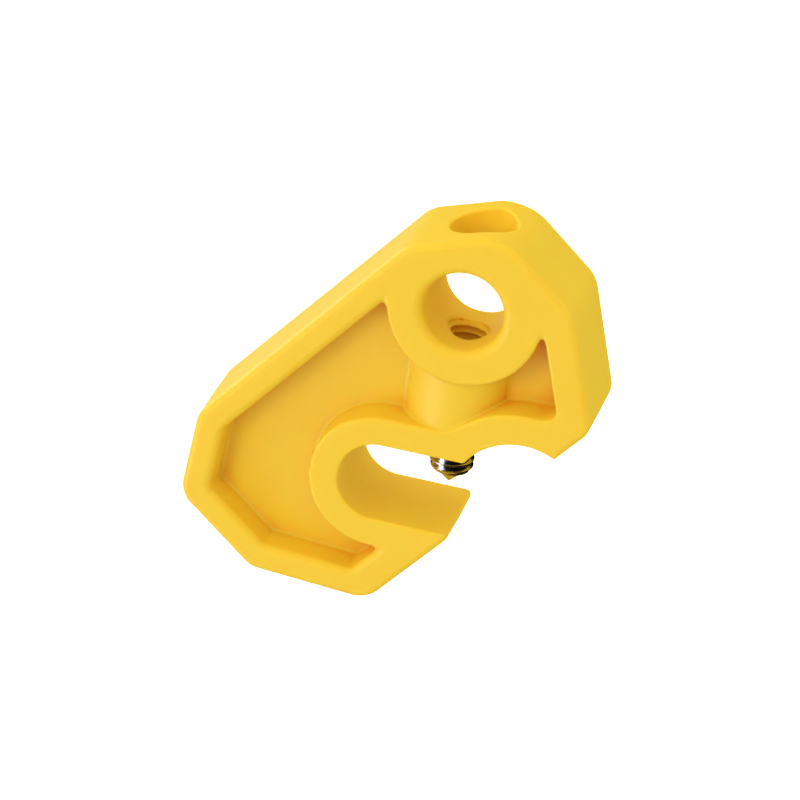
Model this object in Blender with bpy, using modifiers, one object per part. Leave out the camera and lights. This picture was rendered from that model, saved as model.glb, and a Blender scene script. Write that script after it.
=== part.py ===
"""Clamp-on circuit breaker lockout: a moulded plastic jaw that a set screw closes on a breaker's toggle.

A padlock shackle through the bore covers the screw's drive end, so the clamp can't be undone.
The part lies on its back face.
Lengths named in capitals are in millimetres; MM turns them into the scene's metres.
Plan coordinates (u, v) start at the ring boss's centre: u across, v up, as the screw's axis runs.
World X is u, world Y is v and world Z runs along the padlock bore, all from the middle of the outline.
"""

import math

import bmesh
import bpy
from mathutils import Matrix, Vector

MM = 0.001
PART_NAME = "breaker_lockout"

# Body: an eight-sided plate, stretched along a line that leans from the screw's axis.
# Corners run clockwise from the far left one: distance along and across that line, and rounding radius.
THICKNESS = 10.6
LEAN = math.radians(50.15)
OCTAGON = (
    (-34.1, 3.2, 2.6),
    (-27.1, 7.95, 2.8),
    (0.0, 8.0, 3.3),
    (7.75, 3.2, 5.2),
    (7.75, -6.5, 3.3),
    (1.35, -15.95, 2.0),
    (-27.2, -15.6, 3.0),
    (-33.9, -6.4, 2.7),
)
RIGHT_SIDE = 4
FOOT_SIDE = 5
EDGE_RADIUS = 0.5

# Padlock bore and the round boss that carries it
BORE_RADIUS = 3.75
BORE_PLACE = (-0.2, -0.25)
RING_RADIUS = 7.2

# Slot for the breaker's toggle, closed by a half circle, and the round relief beside its mouth
SLOT_CENTRE = (-5.9, -18.65)
SLOT_RADIUS = 3.7
SLOT_WALL = 2.75
JAW_TIP_RADIUS = 0.6
RELIEF_CENTRE = (7.2, -18.15)
RELIEF_RADIUS = 6.2
RELIEF_WALL = 3.0

# Pockets that leave a web at mid-thickness
POCKET_DEPTH = 3.5
RIM_WALL = 2.65
RIGHT_WALL = 3.0
FOOT_WALL = 3.2
POCKET_CORNER_RADIUS = 0.6

# Screw with a cone point, and what lies along its axis
AXIS_U = -0.2
SCREW_RADIUS = 2.1
SCREW_LENGTH = 10.0
SCREW_CHAMFER = 0.4
CONE_LENGTH = 1.5
SCREW_TIP_V = -19.45
DRIVE_SLOT_WIDTH = 0.6
DRIVE_SLOT_DEPTH = 1.4
THREAD_CLEARANCE = 0.06
SCREW_BOSS_RADIUS = 5.0
SCREW_BOSS_TOP_V = -5.0
SCREW_BOSS_BOTTOM_V = -13.0
ACCESS_HOLE_RADIUS = 3.05

# Fineness of round stretches
ARC_STEP = math.radians(9)
ROUND_SIDES = 64
OVERSHOOT = 1.0
WELD_DISTANCE = 0.005


def clear_scene():
    for item in list(bpy.data.objects):
        bpy.data.objects.remove(item)


def new_collection(name):
    collection = bpy.data.collections.new(name)
    bpy.context.scene.collection.children.link(collection)
    return collection


def move_to_collection(item, collection):
    for old in list(item.users_collection):
        old.objects.unlink(item)
    collection.objects.link(item)


def plastic(name, colour, roughness):
    material = bpy.data.materials.new(name)
    material.use_nodes = True
    shader = material.node_tree.nodes["Principled BSDF"]
    shader.inputs["Base Color"].default_value = (*colour, 1.0)
    shader.inputs["Roughness"].default_value = roughness
    shader.inputs["Metallic"].default_value = 0.0
    return material


def steel(name, colour, roughness):
    material = plastic(name, colour, roughness)
    material.node_tree.nodes["Principled BSDF"].inputs["Metallic"].default_value = 1.0
    return material


def leaning(along, across):
    """The plan point at these distances along and across the body's long direction."""
    u = along * math.cos(LEAN) - across * math.sin(LEAN)
    v = along * math.sin(LEAN) + across * math.cos(LEAN)
    return Vector((u, v))


def octagon():
    return [leaning(along, across) for along, across, _ in OCTAGON]


def line_crossing(a, a_direction, b, b_direction):
    distance = (b - a).cross(b_direction) / a_direction.cross(b_direction)
    return a + a_direction * distance


def foot_side_point(v):
    """Where the level line at v meets the body's lower right side."""
    corners = octagon()
    start, end = corners[FOOT_SIDE], corners[FOOT_SIDE + 1]
    return line_crossing(Vector((0.0, v)), Vector((1.0, 0.0)), start, end - start)


def inset(corners, walls):
    """The clockwise polygon moved inwards, by walls[i] for the side that starts at corner i."""
    sides = []
    for i, corner in enumerate(corners):
        direction = (corners[(i + 1) % len(corners)] - corner).normalized()
        inward = Vector((direction.y, -direction.x))
        sides.append((corner + inward * walls[i], direction))
    return [line_crossing(*sides[i - 1], *sides[i]) for i in range(len(sides))]


def rounded(corners):
    """A closed outline from (corner, radius) pairs, with an arc in place of each corner."""
    outline = []
    for i, (corner, radius) in enumerate(corners):
        before = (corners[i - 1][0] - corner).normalized()
        after = (corners[(i + 1) % len(corners)][0] - corner).normalized()
        half_angle = before.angle(after) / 2
        reach = radius / math.tan(half_angle)
        centre = corner + (before + after).normalized() * (radius / math.sin(half_angle))
        start = corner + before * reach - centre
        turn = (corner + after * reach - centre).angle_signed(start)
        steps = max(2, round(abs(turn) / ARC_STEP))
        for step in range(steps + 1):
            outline.append(centre + Matrix.Rotation(turn * step / steps, 2) @ start)
    return outline


def body_outline():
    """The octagon with the toggle slot let into its lower right side."""
    corners = [(corner, radius) for corner, (_, _, radius) in zip(octagon(), OCTAGON)]
    slot_u, slot_v = SLOT_CENTRE
    left, top, bottom = slot_u - SLOT_RADIUS, slot_v + SLOT_RADIUS, slot_v - SLOT_RADIUS
    slot = [
        (foot_side_point(top), JAW_TIP_RADIUS),
        (Vector((left, top)), SLOT_RADIUS),
        (Vector((left, bottom)), SLOT_RADIUS),
        (foot_side_point(bottom), JAW_TIP_RADIUS),
    ]
    return rounded(corners[: FOOT_SIDE + 1] + slot + corners[FOOT_SIDE + 1 :])


def pocket_outline():
    """The octagon less its rim wall; the bosses and the slot's wall are taken out of it afterwards."""
    walls = [RIM_WALL] * len(OCTAGON)
    walls[RIGHT_SIDE] = RIGHT_WALL
    walls[FOOT_SIDE] = FOOT_WALL
    return rounded([(corner, POCKET_CORNER_RADIUS) for corner in inset(octagon(), walls)])


def outline_middle(outline):
    low = Vector((min(p.x for p in outline), min(p.y for p in outline)))
    high = Vector((max(p.x for p in outline), max(p.y for p in outline)))
    return (low + high) / 2


def place(item, parent, position, collection):
    item.parent = parent
    item.location = Vector(position) * MM
    move_to_collection(item, collection)


def plate(name, outline, low, high, parent, collection):
    """A flat piece between two heights, from a filled 2D curve that is made a welded mesh."""
    curve = bpy.data.curves.new(name + "_outline", "CURVE")
    curve.dimensions = "2D"
    curve.fill_mode = "BOTH"
    curve.extrude = (high - low) / 2 * MM
    spline = curve.splines.new("POLY")
    spline.points.add(len(outline) - 1)
    for point, target in zip(spline.points, outline):
        point.co = (target.x * MM, target.y * MM, 0.0, 1.0)
    spline.use_cyclic_u = True
    drawn = bpy.data.objects.new(name + "_curve", curve)
    bpy.context.scene.collection.objects.link(drawn)
    evaluated = drawn.evaluated_get(bpy.context.evaluated_depsgraph_get())
    mesh = bpy.data.meshes.new_from_object(evaluated)
    bpy.data.objects.remove(drawn)
    work = bmesh.new()
    work.from_mesh(mesh)
    bmesh.ops.remove_doubles(work, verts=work.verts, dist=WELD_DISTANCE * MM)
    bmesh.ops.dissolve_limit(work, angle_limit=math.radians(1), verts=work.verts, edges=work.edges)
    bmesh.ops.recalc_face_normals(work, faces=work.faces)
    work.to_mesh(mesh)
    work.free()
    item = bpy.data.objects.new(name, mesh)
    bpy.context.scene.collection.objects.link(item)
    place(item, parent, (0.0, 0.0, (low + high) / 2), collection)
    return item


def cylinder(name, radius, start, end, parent, collection):
    """A round bar from one point to another."""
    start, end = Vector(start), Vector(end)
    bpy.ops.mesh.primitive_cylinder_add(
        vertices=ROUND_SIDES, radius=radius * MM, depth=(end - start).length * MM
    )
    item = bpy.context.active_object
    item.name = name
    item.rotation_euler = (end - start).to_track_quat("Z", "Y").to_euler()
    place(item, parent, (start + end) / 2, collection)
    return item


def box(name, size, centre, parent, collection):
    bpy.ops.mesh.primitive_cube_add(size=1.0)
    item = bpy.context.active_object
    item.name = name
    item.data.transform(Matrix.Diagonal((*(Vector(size) * MM), 1.0)))
    place(item, parent, centre, collection)
    return item


def combine(item, other, operation):
    modifier = item.modifiers.new(operation.lower() + "_" + other.name, "BOOLEAN")
    modifier.object = other
    modifier.operation = operation
    modifier.solver = "EXACT"


def hide_cutter(item):
    item.hide_render = True
    item.display_type = "WIRE"


def round_edges(item, radius):
    modifier = item.modifiers.new("edge_rounding", "BEVEL")
    modifier.width = radius * MM
    modifier.segments = 2
    modifier.limit_method = "ANGLE"
    modifier.angle_limit = math.radians(60)
    modifier.use_clamp_overlap = False


def make_pocket_cutter(name, low, high, anchor, cutters):
    """The space of both pockets on one face: the inset octagon less the ring and the openings' walls."""
    pocket = plate(name, pocket_outline(), low, high, anchor, cutters)
    middle = (low + high) / 2
    reach = (high - low) / 2 + OVERSHOOT
    bottom, top = middle - reach, middle + reach
    ring = cylinder(name + "_ring", RING_RADIUS, (0, 0, bottom), (0, 0, top), anchor, cutters)
    relief_u, relief_v = RELIEF_CENTRE
    relief_start, relief_end = (relief_u, relief_v, bottom), (relief_u, relief_v, top)
    relief_radius = RELIEF_RADIUS + RELIEF_WALL
    relief = cylinder(name + "_relief", relief_radius, relief_start, relief_end, anchor, cutters)
    slot_u, slot_v = SLOT_CENTRE
    wall = SLOT_RADIUS + SLOT_WALL
    round_end = wall - WELD_DISTANCE
    slot_corners = [
        (Vector((slot_u - wall, slot_v + wall)), round_end),
        (Vector((relief_u, slot_v + wall)), JAW_TIP_RADIUS),
        (Vector((relief_u, slot_v - wall)), JAW_TIP_RADIUS),
        (Vector((slot_u - wall, slot_v - wall)), round_end),
    ]
    slot = plate(name + "_slot", rounded(slot_corners), bottom, top, anchor, cutters)
    for kept in (ring, relief, slot):
        hide_cutter(kept)
        combine(pocket, kept, "DIFFERENCE")
    hide_cutter(pocket)
    return pocket


def make_body(anchor, parts, cutters):
    body = plate("body", body_outline(), 0.0, THICKNESS, anchor, parts)
    body.data.materials.append(plastic("yellow_nylon", (0.93, 0.58, 0.03), 0.45))
    round_edges(body, EDGE_RADIUS)

    middle = THICKNESS / 2
    low, high = -OVERSHOOT, THICKNESS + OVERSHOOT
    relief_u, relief_v = RELIEF_CENTRE
    bore_u, bore_v = BORE_PLACE
    boss_start, boss_end = (AXIS_U, SCREW_BOSS_BOTTOM_V, middle), (AXIS_U, SCREW_BOSS_TOP_V, middle)
    boss = cylinder("screw_boss", SCREW_BOSS_RADIUS, boss_start, boss_end, anchor, cutters)
    hole_radius = SCREW_RADIUS + THREAD_CLEARANCE
    hole_start, hole_end = (AXIS_U, SLOT_CENTRE[1], middle), (AXIS_U, 0, middle)
    access_end = (AXIS_U, RING_RADIUS + SLOT_RADIUS, middle)
    relief_start, relief_end = (relief_u, relief_v, low), (relief_u, relief_v, high)
    bore_start, bore_end = (bore_u, bore_v, low), (bore_u, bore_v, high)
    cuts = [
        make_pocket_cutter("front_pocket", THICKNESS - POCKET_DEPTH, high, anchor, cutters),
        make_pocket_cutter("back_pocket", low, POCKET_DEPTH, anchor, cutters),
        cylinder("relief", RELIEF_RADIUS, relief_start, relief_end, anchor, cutters),
        cylinder("padlock_bore", BORE_RADIUS, bore_start, bore_end, anchor, cutters),
        cylinder("screw_hole", hole_radius, hole_start, hole_end, anchor, cutters),
        cylinder("access_hole", ACCESS_HOLE_RADIUS, hole_end, access_end, anchor, cutters),
    ]
    pockets, holes = cuts[:2], cuts[2:]
    for pocket in pockets:
        combine(body, pocket, "DIFFERENCE")
    hide_cutter(boss)
    combine(body, boss, "UNION")
    for hole in holes:
        hide_cutter(hole)
        combine(body, hole, "DIFFERENCE")
    return body


def make_clamp_screw(anchor, parts, cutters):
    """The set screw, turned from a profile; its origin is its tip, on the axis it travels along."""
    profile = [
        (0.0, SCREW_LENGTH),
        (SCREW_RADIUS - SCREW_CHAMFER, SCREW_LENGTH),
        (SCREW_RADIUS, SCREW_LENGTH - SCREW_CHAMFER),
        (SCREW_RADIUS, CONE_LENGTH),
        (0.0, 0.0),
    ]
    work = bmesh.new()
    points = [work.verts.new((radius * MM, 0.0, height * MM)) for radius, height in profile]
    for first, second in zip(points, points[1:]):
        work.edges.new((first, second))
    mesh = bpy.data.meshes.new("clamp_screw")
    work.to_mesh(mesh)
    work.free()
    screw = bpy.data.objects.new("clamp_screw", mesh)
    bpy.context.scene.collection.objects.link(screw)
    turned = screw.modifiers.new("turned", "SCREW")
    turned.axis = "Z"
    turned.steps = turned.render_steps = ROUND_SIDES
    turned.use_merge_vertices = True
    turned.merge_threshold = WELD_DISTANCE * MM
    turned.use_smooth_shade = False
    screw.rotation_euler = (-math.pi / 2, 0.0, 0.0)
    middle = THICKNESS / 2
    place(screw, anchor, (AXIS_U, SCREW_TIP_V, middle), parts)
    screw.data.materials.append(steel("screw_steel", (0.55, 0.55, 0.56), 0.25))

    drive_v = SCREW_TIP_V + SCREW_LENGTH
    slot_size = (DRIVE_SLOT_WIDTH, 2 * DRIVE_SLOT_DEPTH, 2 * (SCREW_RADIUS + OVERSHOOT))
    drive_slot = box("drive_slot", slot_size, (AXIS_U, drive_v, middle), anchor, cutters)
    hide_cutter(drive_slot)
    combine(screw, drive_slot, "DIFFERENCE")
    return screw


def main():
    clear_scene()
    parts = new_collection(PART_NAME)
    cutters = new_collection(PART_NAME + "_cutters")
    middle = outline_middle(body_outline())
    anchor = bpy.data.objects.new("ring_boss_centre", None)
    anchor.location = (-middle.x * MM, -middle.y * MM, 0.0)
    parts.objects.link(anchor)
    make_body(anchor, parts, cutters)
    make_clamp_screw(anchor, parts, cutters)
    bpy.context.view_layer.update()


main()
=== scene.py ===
"""Clamp-on circuit breaker lockout: moulded nylon body and threaded set screw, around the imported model.

Lengths named in capitals are in millimetres, and MM turns them into metres. CAD_BOX is in metres.
Plan coordinates (u, v) start at the ring boss's centre: u across, v up, as the screw's axis runs.
The third, w, runs along the bore from mid-thickness.
Both pieces are solids given by a distance function, negative inside, and meshed from a grid of its values.
"""

import math
from itertools import product

import bpy
import numpy as np
from mathutils import Euler, Matrix, Vector


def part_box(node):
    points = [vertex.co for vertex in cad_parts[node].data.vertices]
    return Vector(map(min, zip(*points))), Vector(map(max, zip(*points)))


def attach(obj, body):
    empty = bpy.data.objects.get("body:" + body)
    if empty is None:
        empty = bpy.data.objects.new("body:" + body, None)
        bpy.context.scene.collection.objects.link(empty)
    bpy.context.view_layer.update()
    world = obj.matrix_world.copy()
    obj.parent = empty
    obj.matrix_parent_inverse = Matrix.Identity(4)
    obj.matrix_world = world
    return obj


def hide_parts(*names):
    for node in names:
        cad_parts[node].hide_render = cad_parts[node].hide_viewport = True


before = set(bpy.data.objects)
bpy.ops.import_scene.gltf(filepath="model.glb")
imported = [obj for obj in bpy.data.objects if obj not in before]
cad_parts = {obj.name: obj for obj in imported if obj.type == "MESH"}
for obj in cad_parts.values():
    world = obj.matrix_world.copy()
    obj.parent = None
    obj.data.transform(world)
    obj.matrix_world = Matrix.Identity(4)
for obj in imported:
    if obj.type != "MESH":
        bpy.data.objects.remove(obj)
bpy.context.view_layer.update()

MM = 0.001

# Plate: an eight-sided outline, stretched along a line that leans from the screw's axis.
# Corners run clockwise from the far left one: distance along and across that line, and rounding radius.
LEAN = math.radians(50.15)
OCTAGON = (
    (-34.1, 3.2, 2.6),
    (-27.1, 7.95, 2.8),
    (0.0, 8.0, 3.3),
    (7.75, 3.2, 5.2),
    (7.75, -6.5, 3.3),
    (1.35, -15.95, 2.0),
    (-27.2, -15.6, 3.0),
    (-33.9, -6.4, 2.7),
)
RIGHT_SIDE = 4
FOOT_SIDE = 5
EDGE_RADIUS = 0.65
OPENING_EDGE_RADIUS = 0.25
OUTER_DRAFT = math.tan(math.radians(0.5))

# Padlock bore and its ring boss
BORE_RADIUS = 3.75
BORE_PLACE = (-0.2, -0.25)
BORE_EDGE_RADIUS = 0.9
RING_RADIUS = 7.2

# Slot for the breaker's toggle, and the round relief beside its mouth
SLOT_CENTRE = (-5.9, -18.65)
SLOT_RADIUS = 3.7
SLOT_WALL = 2.75
JAW_TIP_ROUNDING = 0.9
RELIEF_CENTRE = (7.2, -18.15)
RELIEF_RADIUS = 6.2
RELIEF_WALL = 3.0
NOSE_ROUNDING = 0.2

# Pockets on both faces
POCKET_DEPTH = 3.5
POCKET_DRAFT = math.tan(math.radians(2.0))
POCKET_CORNER_RADIUS = 0.8
POCKET_CREVICE_RADIUS = 0.9
POCKET_FLOOR_RADIUS = 0.3
RIM_EDGE_RADIUS = 0.7
POCKET_EDGE_RADIUS = 0.3
EDGE_BLEND = 1.0
RIM_WALL = 2.65
RIGHT_WALL = 3.0
FOOT_WALL = 3.2

# Boss and holes along the screw's axis: BOSS_V says where the boss starts and ends
AXIS_U = -0.2
BOSS_RADIUS = 5.0
BOSS_V = (-14.0, -4.0)
BOSS_FILLET = 0.3
ACCESS_RADIUS = 3.05
ACCESS_EDGE_RADIUS = 0.3

# Thread, shared by the hole and the screw: its radii are at the root and at the crest.
# Its flanks are steeper than a plain zigzag's by THREAD_STEEPNESS. The distance from a flank is shorter than
# along the radius, by THREAD_SLANT.
THREAD_PITCH = 0.7
THREAD_PHASE = 0.25
THREAD_RADII = (1.72, 2.13)
THREAD_STEEPNESS = 1.35
THREAD_SLANT = 0.8
THREAD_GAP = 0.04
HOLE_CHAMFER = 0.1

# Set screw. Each of the three lines is turned round its axis: the radius at the tip, and how much it grows
# with height above the tip.
SCREW_TIP_V = -19.45
SCREW_LENGTH = 10.0
SCREW_CHAMFER = 0.4
CONE_LINE = (0.0, 1.03)
COLLAR_LINE = (-0.84, 1.85)
SHOULDER_LINE = (0.78, 0.68)
DRIVE_SLOT_WIDTH = 0.6
DRIVE_SLOT_DEPTH = 1.4
POINT_ROUNDING = 0.06
DRIVE_END_ROUNDING = 0.08
DRIVE_SLOT_ROUNDING = 0.05

# Light: where the soft light is brightest, and how bright it is from the far side and from there
SOFT_LIGHT_FROM = (-0.2, 0.3, -0.93)
SOFT_LIGHT = (0.76, 1.2)
LIGHT_DISTANCE = 600.0

# Camera: its turns about X, Y and Z in degrees, its distance from the front face, and how far the ring
# boss's centre shows to the right of the picture's middle and above it
CAMERA_TURNS = (-23.556, 13.864, 7.165)
CAMERA_DISTANCE = 486.5
CAMERA_SHIFT = (5.766, 7.883)
CAMERA_LENS = 243.0
SENSOR_WIDTH = 36.0

# Floor that stands for a white light table
FLOOR_SIZE = 3000.0
FLOOR_GAP = 0.1

# Nylon: its two tints, the deeper orange painted as shade into crevices, how far the occlusion that places
# that painted shade reaches, how deep the grain is, its roughness, and how far light spreads in it and in
# what colours
NYLON_TINTS = ((0.89, 0.59, 0.024, 1.0), (0.92, 0.612, 0.030, 1.0))
PAINTED_CREVICE_SHADE = (0.86, 0.33, 0.012, 1.0)
PAINTED_SHADE_REACH = 2.8
GRAIN_DEPTH = 0.01
NYLON_ROUGHNESS = (0.46, 0.58)
SCATTER_DEPTH = 0.9
SCATTER_COLOURS = (1.0, 0.35, 0.06)

# Steel: its colour, how deep its turning marks are, and its roughness
STEEL_COLOUR = (0.55, 0.55, 0.6, 1.0)
MARK_DEPTH = 0.006
STEEL_ROUGHNESS = (0.14, 0.3)

# Features to a metre along each axis
TINT_CLOUDS = (260, 260, 260)
NYLON_GRAIN = (2600, 2600, 2600)
TURNING_MARKS = (500, 9000, 500)

# Ranges of the noise, and of the occlusion over which the nylon's painted crevice shade fades out, that the
# materials use
NOISE_RANGE = (0.3, 0.7)
PAINTED_SHADE_RANGE = (0.2, 0.7)

# Places of a colour mixing node's sockets, whose names repeat
MIX_FACTOR = 0
MIX_FIRST = 6
MIX_SECOND = 7
MIX_RESULT = 2

# Mesh fineness: the cells' size, the triangles kept, and how many cells the grid reaches past the solid
BODY_CELL = 0.14
SCREW_CELL = 0.05
BODY_TRIANGLES = 190000
SCREW_TRIANGLES = 120000
GRID_MARGIN = 1.5

# Moving points onto a surface: the step that a slope is measured over, its least square, and the rounds
SLOPE_STEP = 0.004
LEAST_STEEPNESS = 0.25
SETTLING_ROUNDS = 2

screw_low, screw_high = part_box("clamp_screw")
body_low, body_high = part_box("body")
screw_middle = (screw_low + screw_high) / 2
screw_middle_v = SCREW_TIP_V + SCREW_LENGTH / 2
centre = Vector((screw_middle.x - AXIS_U * MM, screw_middle.y - screw_middle_v * MM, screw_middle.z))
HALF_THICKNESS = (body_high.z - body_low.z) / 2 / MM


# Distance functions


def rounded_max(a, b, radius):
    """Where two solids overlap, with the edge between them rounded."""
    corner = np.hypot(np.maximum(a + radius, 0), np.maximum(b + radius, 0))
    return np.minimum(np.maximum(a, b), -radius) + corner


def rounded_min(a, b, radius):
    """Two solids joined, with a fillet between them."""
    return -rounded_max(-a, -b, radius)


def cut(solid, hole, radius):
    """A solid less a hole, with the hole's edge rounded."""
    return rounded_max(solid, -hole, radius)


def either(first, second, first_radius, second_radius):
    """The first radius where the first distance is the greater, turning smoothly into the second."""
    share = np.clip((first - second) / EDGE_BLEND + 0.5, 0, 1)
    return second_radius + (first_radius - second_radius) * share * share * (3 - 2 * share)


def leaning(along, across):
    """The plan point at these distances along and across the plate's long direction."""
    u = along * math.cos(LEAN) - across * math.sin(LEAN)
    v = along * math.sin(LEAN) + across * math.cos(LEAN)
    return Vector((u, v))


def octagon_distance(u, v, walls, radii):
    """Distance outside the octagon, moved in by walls[i] on side i, with radii[i] at corner i."""
    corners = [leaning(along, across) for along, across, _ in OCTAGON]
    sides = [(corners[(i + 1) % len(corners)] - corner).normalized() for i, corner in enumerate(corners)]
    outside = []
    for corner, side, wall in zip(corners, sides, walls):
        outside.append((v - corner.y) * side.x - (u - corner.x) * side.y + wall)
    rounded = []
    for i, radius in enumerate(radii):
        rounding = radius * (1 - sides[i - 1].dot(sides[i]))
        rounded.append(rounded_max(outside[i - 1], outside[i], rounding))
    return np.maximum.reduce(rounded)


def slot_distance(u, v):
    return np.hypot(np.minimum(u - SLOT_CENTRE[0], 0), v - SLOT_CENTRE[1]) - SLOT_RADIUS


def relief_distance(u, v):
    return np.hypot(u - RELIEF_CENTRE[0], v - RELIEF_CENTRE[1]) - RELIEF_RADIUS


def octagon_outline(u, v):
    return octagon_distance(u, v, [0.0] * len(OCTAGON), [radius for _, _, radius in OCTAGON])


def pocket_field(u, v):
    """The octagon inside its rim, where the pockets can be."""
    walls = [RIM_WALL] * len(OCTAGON)
    walls[RIGHT_SIDE] = RIGHT_WALL
    walls[FOOT_SIDE] = FOOT_WALL
    return octagon_distance(u, v, walls, [POCKET_CORNER_RADIUS] * len(OCTAGON))


def sloping(radius, height, start, slope):
    """Distance outside the turned surface whose radius is start at height 0 and grows by slope."""
    return (radius - start - slope * height) / math.hypot(1, slope)


def thread_radius(u, v, w):
    """Radius of the right-hand thread's flank at each point's height and angle about the screw's axis."""
    turn = v / THREAD_PITCH - np.arctan2(u - AXIS_U, w) / (2 * math.pi) + THREAD_PHASE
    height = np.abs(2 * (turn - np.floor(turn)) - 1)
    root, crest = THREAD_RADII
    return root + (crest - root) * np.clip((height - 0.5) * THREAD_STEEPNESS + 0.5, 0, 1)


def body_distance(u, v, w):
    """The moulded body at points (u, v, w), as arrays that broadcast."""
    height = np.abs(w)
    slot = slot_distance(u, v)
    relief = relief_distance(u, v)
    ring = np.hypot(u, v) - RING_RADIUS

    field = pocket_field(u, v)
    pocket = cut(field, ring, POCKET_CREVICE_RADIUS)
    pocket = cut(pocket, slot - SLOT_WALL, POCKET_CREVICE_RADIUS)
    pocket = cut(pocket, relief - RELIEF_WALL, POCKET_CREVICE_RADIUS)
    walls = np.minimum(np.minimum(ring, slot - SLOT_WALL), relief - RELIEF_WALL)
    rim_radius = np.where(u < 0, RIM_EDGE_RADIUS, POCKET_EDGE_RADIUS)
    edge_radius = either(field, -walls, rim_radius, POCKET_EDGE_RADIUS)
    pocket = pocket + (HALF_THICKNESS - height) * POCKET_DRAFT
    pocket = rounded_max(pocket, HALF_THICKNESS - POCKET_DEPTH - height, POCKET_FLOOR_RADIUS)
    solid = cut(height - HALF_THICKNESS, pocket, edge_radius)

    from_axis = np.hypot(u - AXIS_U, w)
    boss_low, boss_high = BOSS_V
    boss = np.maximum(from_axis - BOSS_RADIUS, np.maximum(v - boss_high, boss_low - v))
    solid = rounded_min(solid, boss, BOSS_FILLET)
    outline = octagon_outline(u, v)
    edge_radius = either(outline, -np.minimum(slot, relief), EDGE_RADIUS, OPENING_EDGE_RADIUS)
    outline = cut(outline, slot, JAW_TIP_ROUNDING)
    outline = cut(outline, relief, NOSE_ROUNDING)
    solid = rounded_max(solid, outline + height * OUTER_DRAFT, edge_radius)

    bore = np.hypot(u - BORE_PLACE[0], v - BORE_PLACE[1]) - BORE_RADIUS
    solid = cut(solid, bore, BORE_EDGE_RADIUS)
    solid = cut(solid, np.maximum(from_axis - ACCESS_RADIUS, -v), ACCESS_EDGE_RADIUS)
    hole_radius = np.maximum(thread_radius(u, v, w) + THREAD_GAP, THREAD_RADII[1] + HOLE_CHAMFER - bore)
    hole = np.maximum((from_axis - hole_radius) * THREAD_SLANT, np.maximum(v, SLOT_CENTRE[1] - v))
    return np.maximum(solid, -hole)


def screw_distance(u, v, w):
    """The set screw: thread, cone point, chamfered drive end and driver slot."""
    above_tip = v - SCREW_TIP_V
    from_axis = np.hypot(u - AXIS_U, w)
    thread = (from_axis - thread_radius(u, v, w) + THREAD_GAP) * THREAD_SLANT
    cone = sloping(from_axis, above_tip, *CONE_LINE)
    collar = sloping(from_axis, above_tip, *COLLAR_LINE)
    shoulder = sloping(from_axis, above_tip, *SHOULDER_LINE)
    point = np.minimum(cone, np.maximum(collar, shoulder))
    solid = rounded_max(thread, point, POINT_ROUNDING)
    drive_end = above_tip - SCREW_LENGTH
    chamfer = sloping(from_axis, drive_end, THREAD_RADII[1] - SCREW_CHAMFER, -1.0)
    solid = np.maximum(solid, chamfer)
    solid = rounded_max(solid, drive_end, DRIVE_END_ROUNDING)
    slot = np.maximum(np.abs(u - AXIS_U) - DRIVE_SLOT_WIDTH / 2, -drive_end - DRIVE_SLOT_DEPTH)
    return cut(solid, slot, DRIVE_SLOT_ROUNDING)


# Meshing


def surface_net(values):
    """A closed quad mesh of a grid's zero surface.

    It has a vertex in each cell that the surface crosses, and a quad round each grid edge that it crosses.
    """
    inside = values < 0
    shape = tuple(n - 1 for n in values.shape)
    filled = np.zeros(shape, np.int8)
    for x, y, z in product((0, 1), repeat=3):
        filled += inside[x : x + shape[0], y : y + shape[1], z : z + shape[2]]
    crossed = (filled > 0) & (filled < 8)
    cells = np.argwhere(crossed)
    number = np.full(shape, -1)
    number[crossed] = np.arange(len(cells))

    total = np.zeros((len(cells), 3))
    hits = np.zeros(len(cells))
    for axis in range(3):
        for start in product((0, 1), repeat=3):
            if start[axis]:
                continue
            end = np.array(start)
            end[axis] = 1
            low = values[tuple((cells + start).T)]
            high = values[tuple((cells + end).T)]
            change = (low < 0) != (high < 0)
            share = low[change] / (low[change] - high[change])
            total[change] += np.array(start) + share[:, None] * (end - start)
            hits[change] += 1
    points = cells + total / hits[:, None]

    quads = []
    for axis in range(3):
        step = np.eye(3, dtype=int)
        first, second = step[(axis + 1) % 3], step[(axis + 2) % 3]
        low = inside[tuple(slice(0, -1) if i == axis else slice(None) for i in range(3))]
        high = inside[tuple(slice(1, None) if i == axis else slice(None) for i in range(3))]
        edges = np.argwhere(low != high)
        ring = [edges - first - second, edges - second, edges, edges - first]
        quad = np.stack([number[tuple(cell.T)] for cell in ring], axis=1)
        leaving = low[tuple(edges.T)]
        quad[~leaving] = quad[~leaving][:, ::-1]
        quads.append(quad)
    return points, np.concatenate(quads)


def gradient(distance, points):
    slopes = []
    for axis in range(3):
        offset = np.zeros(3)
        offset[axis] = SLOPE_STEP
        slopes.append(distance(*(points + offset).T) - distance(*(points - offset).T))
    return np.stack(slopes, axis=1) / (2 * SLOPE_STEP)


def onto_surface(distance, points):
    """Points moved along the distance function's slope onto its surface, and the normals there."""
    for _ in range(SETTLING_ROUNDS):
        slope = gradient(distance, points)
        steepness = np.maximum((slope**2).sum(axis=1), LEAST_STEEPNESS)
        points = points - slope * (distance(*points.T) / steepness)[:, None]
    slope = gradient(distance, points)
    return points, slope / np.linalg.norm(slope, axis=1)[:, None]


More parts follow.
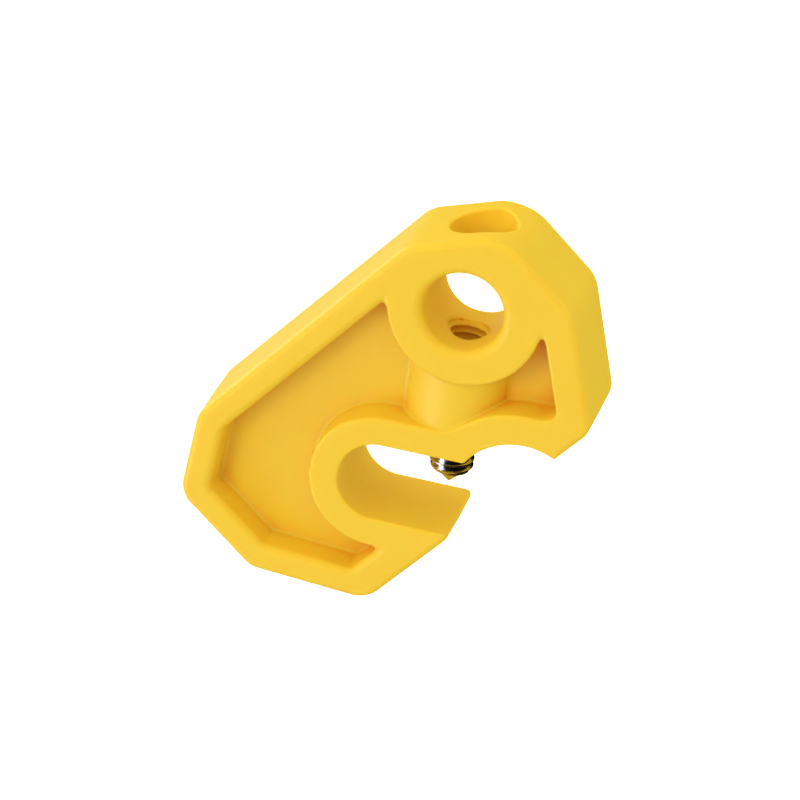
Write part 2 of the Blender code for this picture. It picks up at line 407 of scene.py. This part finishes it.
def solid_mesh(name, distance, low, high, cell, triangles):
    """A mesh object of the solid between two corners, thinned where it is flat."""
    margin = GRID_MARGIN * cell
    axes = [np.arange(start - margin, end + margin + cell, cell) for start, end in zip(low, high)]
    values = distance(axes[0][:, None, None], axes[1][None, :, None], axes[2][None, None, :])
    points, quads = surface_net(values)
    points = points * cell + [axis[0] for axis in axes]
    points, _ = onto_surface(distance, points)

    mesh = bpy.data.meshes.new(name)
    mesh.from_pydata(points.tolist(), [], quads.tolist())
    piece = bpy.data.objects.new(name, mesh)
    bpy.context.scene.collection.objects.link(piece)
    thinned = piece.modifiers.new("thinned", "DECIMATE")
    thinned.ratio = min(1.0, triangles / (2 * len(quads)))
    evaluated = piece.evaluated_get(bpy.context.evaluated_depsgraph_get())
    thin_mesh = bpy.data.meshes.new_from_object(evaluated)
    piece.modifiers.clear()
    piece.data = thin_mesh

    count = len(piece.data.vertices)
    points = np.empty(count * 3)
    piece.data.vertices.foreach_get("co", points)
    points, normals = onto_surface(distance, points.reshape(-1, 3))
    piece.data.vertices.foreach_set("co", (points * MM + np.array(centre)).ravel())
    piece.data.shade_smooth()
    piece.data.normals_split_custom_set_from_vertices(normals.tolist())
    piece.data.update()
    return piece


def make_body():
    low = (body_low - centre) / MM
    high = (body_high - centre) / MM
    body = solid_mesh("moulded_body", body_distance, low, high, BODY_CELL, BODY_TRIANGLES)
    body.data.materials.append(nylon())
    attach(body, "body")
    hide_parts("body")
    return body


def make_screw():
    low = (screw_low - centre) / MM
    high = (screw_high - centre) / MM
    screw = solid_mesh("threaded_screw", screw_distance, low, high, SCREW_CELL, SCREW_TRIANGLES)
    screw.data.materials.append(steel())
    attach(screw, "screw")
    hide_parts("clamp_screw")
    return screw


# Materials


def new_material(name):
    """A material, its node tree and its shader."""
    material = bpy.data.materials.new(name)
    material.use_nodes = True
    return material, material.node_tree, material.node_tree.nodes["Principled BSDF"]


def fine_noise(tree, stretch, detail):
    """Noise over the part, with this many features to a metre along each axis."""
    place = tree.nodes.new("ShaderNodeTexCoord")
    scaled = tree.nodes.new("ShaderNodeMapping")
    scaled.inputs["Scale"].default_value = stretch
    noise = tree.nodes.new("ShaderNodeTexNoise")
    noise.inputs["Scale"].default_value = 1.0
    noise.inputs["Detail"].default_value = detail
    tree.links.new(place.outputs["Object"], scaled.inputs["Vector"])
    tree.links.new(scaled.outputs["Vector"], noise.inputs["Vector"])
    return noise.outputs["Fac"]


def vary(tree, factor, source, result, target):
    """A factor's source range stretched onto the result range, and fed into a shader's socket."""
    values = tree.nodes.new("ShaderNodeMapRange")
    values.inputs["From Min"].default_value, values.inputs["From Max"].default_value = source
    values.inputs["To Min"].default_value, values.inputs["To Max"].default_value = result
    tree.links.new(factor, values.inputs["Value"])
    tree.links.new(values.outputs["Result"], target)


def roughen(tree, factor, depth, shader):
    """Bumps of this depth in metres."""
    bump = tree.nodes.new("ShaderNodeBump")
    bump.inputs["Distance"].default_value = depth
    tree.links.new(factor, bump.inputs["Height"])
    tree.links.new(bump.outputs["Normal"], shader.inputs["Normal"])


def colour_mix(tree):
    mix = tree.nodes.new("ShaderNodeMix")
    mix.data_type = "RGBA"
    return mix


def nylon():
    """Yellow nylon: faintly clouded, with painted shade in its crevices (a deeper orange mixed in where
    ambient occlusion is low), finely grained and a little translucent.
    """
    material, tree, shader = new_material("yellow_nylon")
    tint = colour_mix(tree)
    tint.inputs[MIX_FIRST].default_value, tint.inputs[MIX_SECOND].default_value = NYLON_TINTS
    tree.links.new(fine_noise(tree, TINT_CLOUDS, 3), tint.inputs[MIX_FACTOR])
    # Painted shade: the base colour turns to a deeper orange where ambient occlusion finds a crevice or hole
    occlusion = tree.nodes.new("ShaderNodeAmbientOcclusion")
    occlusion.samples = 12
    occlusion.inputs["Distance"].default_value = PAINTED_SHADE_REACH * MM
    painted_shade = colour_mix(tree)
    painted_shade.inputs[MIX_FIRST].default_value = PAINTED_CREVICE_SHADE
    vary(tree, occlusion.outputs["AO"], PAINTED_SHADE_RANGE, (0.0, 1.0), painted_shade.inputs[MIX_FACTOR])
    tree.links.new(tint.outputs[MIX_RESULT], painted_shade.inputs[MIX_SECOND])
    tree.links.new(painted_shade.outputs[MIX_RESULT], shader.inputs["Base Color"])
    grain = fine_noise(tree, NYLON_GRAIN, 4)
    vary(tree, grain, NOISE_RANGE, NYLON_ROUGHNESS, shader.inputs["Roughness"])
    roughen(tree, grain, GRAIN_DEPTH * MM, shader)
    shader.inputs["IOR"].default_value = 1.5
    shader.inputs["Subsurface Weight"].default_value = 0.6
    shader.inputs["Subsurface Radius"].default_value = SCATTER_COLOURS
    shader.inputs["Subsurface Scale"].default_value = SCATTER_DEPTH * MM
    return material


def steel():
    """Bright steel with turning marks round its axis."""
    material, tree, shader = new_material("turned_steel")
    shader.inputs["Base Color"].default_value = STEEL_COLOUR
    shader.inputs["Metallic"].default_value = 1.0
    marks = fine_noise(tree, TURNING_MARKS, 3)
    vary(tree, marks, NOISE_RANGE, STEEL_ROUGHNESS, shader.inputs["Roughness"])
    roughen(tree, marks, MARK_DEPTH * MM, shader)
    return material


# Stage


def make_floor():
    """A plain white floor that only the camera sees."""
    bpy.ops.mesh.primitive_plane_add(size=FLOOR_SIZE * MM, location=(0, 0, -FLOOR_GAP * MM))
    floor = bpy.context.active_object
    floor.name = "floor"
    material, _, shader = new_material("white_light_table")
    shader.inputs["Base Color"].default_value = (0.9, 0.9, 0.9, 1.0)
    shader.inputs["Roughness"].default_value = 0.9
    shader.inputs["Emission Color"].default_value = (1.0, 1.0, 1.0, 1.0)
    shader.inputs["Emission Strength"].default_value = 1.0
    floor.data.materials.append(material)
    floor.visible_diffuse = False
    floor.visible_glossy = False
    floor.visible_shadow = False


def make_area_light(name, direction, size, watts):
    """A round lamp of this size in metres, in this direction from the ring boss's centre."""
    light = bpy.data.lights.new(name, "AREA")
    light.shape = "DISK"
    light.size = size
    light.energy = watts
    lamp = bpy.data.objects.new(name, light)
    lamp.location = centre + Vector(direction).normalized() * LIGHT_DISTANCE * MM
    lamp.rotation_euler = Vector(direction).to_track_quat("Z", "Y").to_euler()
    bpy.context.scene.collection.objects.link(lamp)
    return lamp


def make_world():
    """Soft light from all round, brightest from one side, that leaves no sheen."""
    world = bpy.data.worlds.new("studio")
    world.use_nodes = True
    nodes, links = world.node_tree.nodes, world.node_tree.links
    direction = nodes.new("ShaderNodeTexCoord")
    towards = nodes.new("ShaderNodeVectorMath")
    towards.operation = "DOT_PRODUCT"
    towards.inputs[1].default_value = Vector(SOFT_LIGHT_FROM).normalized()
    strength = nodes.new("ShaderNodeMapRange")
    strength.inputs["From Min"].default_value = -1.0
    strength.inputs["To Min"].default_value = SOFT_LIGHT[0]
    strength.inputs["To Max"].default_value = SOFT_LIGHT[1]
    links.new(direction.outputs["Generated"], towards.inputs[0])
    links.new(towards.outputs["Value"], strength.inputs["Value"])
    links.new(strength.outputs["Result"], nodes["Background"].inputs["Strength"])
    nodes["Background"].inputs["Color"].default_value = (1.0, 1.0, 1.0, 1.0)
    bpy.context.scene.world = world
    world.cycles_visibility.glossy = False


def make_lights():
    """A key and a main light from the upper left, and two that show only as sheen."""
    make_world()
    make_area_light("key", direction=(-0.8, 0.3, 0.45), size=0.12, watts=0.2)
    main = make_area_light("main", direction=(-0.4, 0.3, 0.87), size=0.25, watts=0.8)
    main.visible_glossy = False
    rim = make_area_light("rim", direction=(-0.8, 0.1, -0.5), size=0.4, watts=1.3)
    glint = make_area_light("glint", direction=(-0.7, -0.42, 0.57), size=0.32, watts=1.4)
    for sheen in (rim, glint):
        sheen.visible_diffuse = False


def make_camera():
    """A long lens, above and to the right of the part, so that its front face and its top edge show."""
    camera = bpy.data.cameras.new("camera")
    camera.lens = CAMERA_LENS
    camera.sensor_width = SENSOR_WIDTH
    camera.clip_start = 0.01
    viewer = bpy.data.objects.new("camera", camera)
    turn = Euler([math.radians(degrees) for degrees in CAMERA_TURNS]).to_matrix()
    right, up, back = turn.col
    front = centre + Vector((0, 0, HALF_THICKNESS * MM))
    place = front + (back * CAMERA_DISTANCE - right * CAMERA_SHIFT[0] - up * CAMERA_SHIFT[1]) * MM
    viewer.matrix_world = Matrix.Translation(place) @ turn.to_4x4()
    bpy.context.scene.collection.objects.link(viewer)
    bpy.context.scene.camera = viewer
    bpy.context.scene.view_settings.view_transform = "Standard"


make_camera()
make_body()
make_screw()
make_floor()
make_lights()
